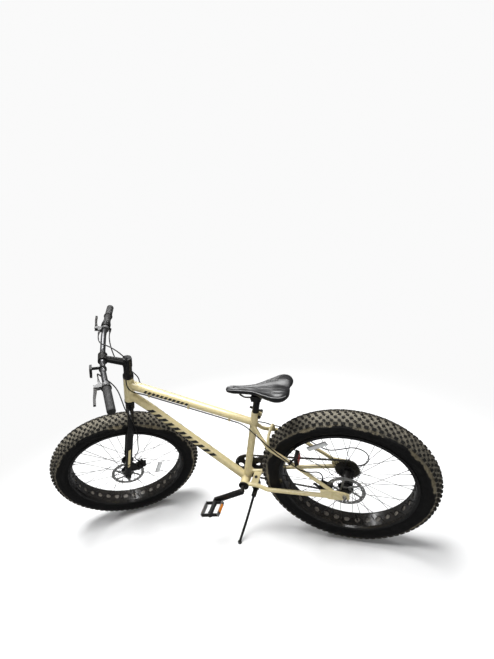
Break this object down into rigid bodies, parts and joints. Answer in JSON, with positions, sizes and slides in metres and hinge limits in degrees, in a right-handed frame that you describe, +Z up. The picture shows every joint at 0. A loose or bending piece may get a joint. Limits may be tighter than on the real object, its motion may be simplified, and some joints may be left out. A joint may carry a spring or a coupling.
{
  "type": "fat tire bike",
  "caption": "Rigid mountain bicycle with very wide knobby tyres, disc brakes, rear derailleur and kickstand, standing with its bars turned.",
  "frame": {"origin": "middle of the bicycle's footprint, on the ground", "axes": "+X forward along the frame, +Y to the rider's left, +Z up from the ground"},
  "size_m": [1.8014, 0.6437, 1.1652],
  "materials": {
    "frame_paint": "gloss",
    "fork_paint": "gloss",
    "black_alloy": "satin",
    "grey_alloy": "satin",
    "steel": "satin",
    "tyre": "matte",
    "rubber": "matte",
    "black_plastic": "matte",
    "red_plastic": "gloss",
    "vinyl": "satin"
  },
  "bodies": {
    "frame": {"head_tube": "frame_paint", "top_tube": "frame_paint", "down_tube": "frame_paint", "seat_tube": "frame_paint", "bottom_bracket_shell": "frame_paint", "chainstays": "frame_paint", "seatstays": "frame_paint", "bearing_cups": "black_alloy", "frame_bolts": "steel", "rear_caliper": "black_alloy", "rear_axle": "steel", "rear_reflector": "red_plastic", "kickstand_bracket": "black_alloy", "chain": "steel", "derailleur_mount": "black_alloy", "rear_brake_cable": "rubber", "shift_cable": "rubber"},
    "steering": {"fork": "fork_paint", "headset_spacers": "black_alloy", "stem": "black_alloy", "stem_bolts": "steel", "handlebar": "grey_alloy", "grips": "rubber", "brake_perches": "black_alloy", "shifter_housing": "black_plastic", "front_reflector": "black_plastic", "front_caliper": "black_alloy", "front_axle": "steel", "front_brake_cable": "rubber"},
    "front_wheel": {"front_tyre": "tyre", "front_rim": "black_alloy", "front_spokes": "steel", "front_hub": "black_alloy", "front_rotor": "steel"},
    "rear_wheel": {"rear_tyre": "tyre", "rear_rim": "black_alloy", "rear_spokes": "steel", "rear_hub": "black_alloy", "rear_rotor": "steel"},
    "crankset": {"crank_arms": "black_alloy", "chainring": "steel"},
    "seat": {"seat_post": "black_alloy", "saddle": "vinyl"},
    "freewheel": {"freewheel": "steel"},
    "left_pedal": {"left_pedal": "grey_alloy"},
    "right_pedal": {"right_pedal": "grey_alloy"},
    "left_brake_lever": {"left_brake_lever": "black_alloy"},
    "right_brake_lever": {"right_brake_lever": "black_alloy"},
    "front_caliper_arm": {"front_caliper_arm": "black_alloy"},
    "rear_caliper_arm": {"rear_caliper_arm": "black_alloy"},
    "twist_grip": {"twist_grip": "rubber"},
    "kickstand_leg": {"kickstand_leg": "black_alloy"},
    "clamp_lever": {"clamp_lever": "black_alloy"},
    "derailleur_outer_link": {"derailleur_outer_link": "black_alloy"},
    "derailleur_inner_link": {"derailleur_inner_link": "black_alloy"},
    "derailleur_knuckle": {"derailleur_knuckle": "black_alloy"},
    "derailleur_cage": {"derailleur_cage": "black_alloy"},
    "guide_pulley": {"guide_pulley": "black_plastic"},
    "tension_pulley": {"tension_pulley": "black_plastic"}
  },
  "joints": [
    {"name": "steering", "type": "hinge", "parent": "frame", "child": "steering", "pos_m": [0.39185, -0.04407, 0.77538], "axis": [-0.3453, 0.1306, 0.9294], "range_deg": [-92, 28], "deforming": ["rear_brake_cable", "shift_cable"]},
    {"name": "front_wheel_spin", "type": "hinge", "parent": "steering", "child": "front_wheel", "pos_m": [0.5749, -0.08732, 0.35343], "axis": [-0.4973, 0.8143, -0.2992], "continuous": true},
    {"name": "rear_wheel_spin", "type": "hinge", "parent": "frame", "child": "rear_wheel", "pos_m": [-0.53279, -0.10176, 0.3649], "axis": [0, 0.9903, -0.1392], "continuous": true},
    {"name": "crank_spin", "type": "hinge", "parent": "frame", "child": "crankset", "pos_m": [-0.07505, -0.10722, 0.32608], "axis": [0, 0.9903, -0.1392], "continuous": true, "deforming": ["chain"]},
    {"name": "freewheel_spin", "type": "hinge", "parent": "frame", "child": "freewheel", "pos_m": [-0.53279, -0.10176, 0.3649], "axis": [0, 0.9903, -0.1392], "continuous": true, "deforming": ["chain"]},
    {"name": "left_pedal_spin", "type": "hinge", "parent": "crankset", "child": "left_pedal", "pos_m": [0.07449, -0.11847, 0.24601], "axis": [0, 0.9903, -0.1392], "continuous": true},
    {"name": "right_pedal_spin", "type": "hinge", "parent": "crankset", "child": "right_pedal", "pos_m": [-0.22459, -0.09596, 0.40615], "axis": [0, 0.9903, -0.1392], "continuous": true},
    {"name": "left_lever_pull", "type": "hinge", "parent": "steering", "child": "left_brake_lever", "pos_m": [0.28313, 0.23266, 0.99087], "axis": [-0.3338, 0.112, 0.936], "range_deg": [0, 14], "stiffness_Nm_per_rad": 1.5},
    {"name": "right_lever_pull", "type": "hinge", "parent": "steering", "child": "right_brake_lever", "pos_m": [0.48275, -0.08496, 1.10877], "axis": [0.3566, -0.1492, -0.9223], "range_deg": [0, 14], "stiffness_Nm_per_rad": 1.5},
    {"name": "front_caliper_pull", "type": "hinge", "parent": "steering", "child": "front_caliper_arm", "pos_m": [0.46311, -0.06853, 0.37565], "axis": [-0.4973, 0.8143, -0.2992], "range_deg": [0, 15]},
    {"name": "rear_caliper_pull", "type": "hinge", "parent": "frame", "child": "rear_caliper_arm", "pos_m": [-0.43875, -0.02555, 0.37369], "axis": [0, -0.9903, 0.1392], "range_deg": [0, 15]},
    {"name": "twist_shift", "type": "hinge", "parent": "steering", "child": "twist_grip", "pos_m": [0.48837, -0.18693, 1.12744], "axis": [0.383, -0.8771, 0.29], "range_deg": [-60, 60], "deforming": ["chain"]},
    {"name": "kickstand_fold", "type": "hinge", "parent": "frame", "child": "kickstand_leg", "pos_m": [-0.1154, -0.0666, 0.27017], "axis": [0, 0.9903, -0.1392], "range_deg": [0, 100]},
    {"name": "seat_height", "type": "slide", "parent": "frame", "child": "seat", "axis": [-0.3007, 0.1327, 0.9444], "range_m": [-0.05, 0.12]},
    {"name": "seat_clamp", "type": "hinge", "parent": "frame", "child": "clamp_lever", "pos_m": [-0.21733, -0.07497, 0.70857], "axis": [0.3007, -0.1327, -0.9444], "range_deg": [0, 150]},
    {"name": "outer_link_swing", "type": "hinge", "parent": "frame", "child": "derailleur_outer_link", "pos_m": [-0.52915, -0.21644, 0.32849], "axis": [0.9943, -0.0148, -0.1054], "range_deg": [-24, 24], "deforming": ["chain"]},
    {"name": "inner_link_swing", "type": "hinge", "parent": "frame", "child": "derailleur_inner_link", "pos_m": [-0.52915, -0.20357, 0.32668], "axis": [0.9943, -0.0148, -0.1054], "range_deg": [-24, 24]},
    {"name": "knuckle_swing", "type": "hinge", "parent": "derailleur_outer_link", "child": "derailleur_knuckle", "pos_m": [-0.5332, -0.2217, 0.29107], "axis": [0.9943, -0.0148, -0.1054], "range_deg": [-24, 24], "deforming": ["chain"]},
    {"name": "cage_swing", "type": "hinge", "parent": "derailleur_knuckle", "child": "derailleur_cage", "pos_m": [-0.52944, -0.17907, 0.28183], "axis": [0, 0.9903, -0.1392], "range_deg": [-15, 30], "stiffness_Nm_per_rad": 1.2, "deforming": ["chain"]},
    {"name": "guide_pulley_spin", "type": "hinge", "parent": "derailleur_cage", "child": "guide_pulley", "pos_m": [-0.52944, -0.17907, 0.28183], "axis": [0, 0.9903, -0.1392], "continuous": true, "deforming": ["chain"]},
    {"name": "tension_pulley_spin", "type": "hinge", "parent": "derailleur_cage", "child": "tension_pulley", "pos_m": [-0.50497, -0.187, 0.22542], "axis": [0, 0.9903, -0.1392], "continuous": true, "deforming": ["chain"]}
  ],
  "couplings": [
    {"joint": "freewheel_spin", "follows": "crank_spin", "ratio": 1.8},
    {"joint": "guide_pulley_spin", "follows": "crank_spin", "ratio": -3.2727},
    {"joint": "tension_pulley_spin", "follows": "crank_spin", "ratio": 3.2727},
    {"joint": "front_caliper_pull", "follows": "left_lever_pull", "ratio": 1.05},
    {"joint": "rear_caliper_pull", "follows": "right_lever_pull", "ratio": 1.05},
    {"joint": "outer_link_swing", "follows": "twist_shift", "ratio": 0.383},
    {"joint": "inner_link_swing", "follows": "twist_shift", "ratio": 0.383},
    {"joint": "knuckle_swing", "follows": "twist_shift", "ratio": -0.383}
  ]
}
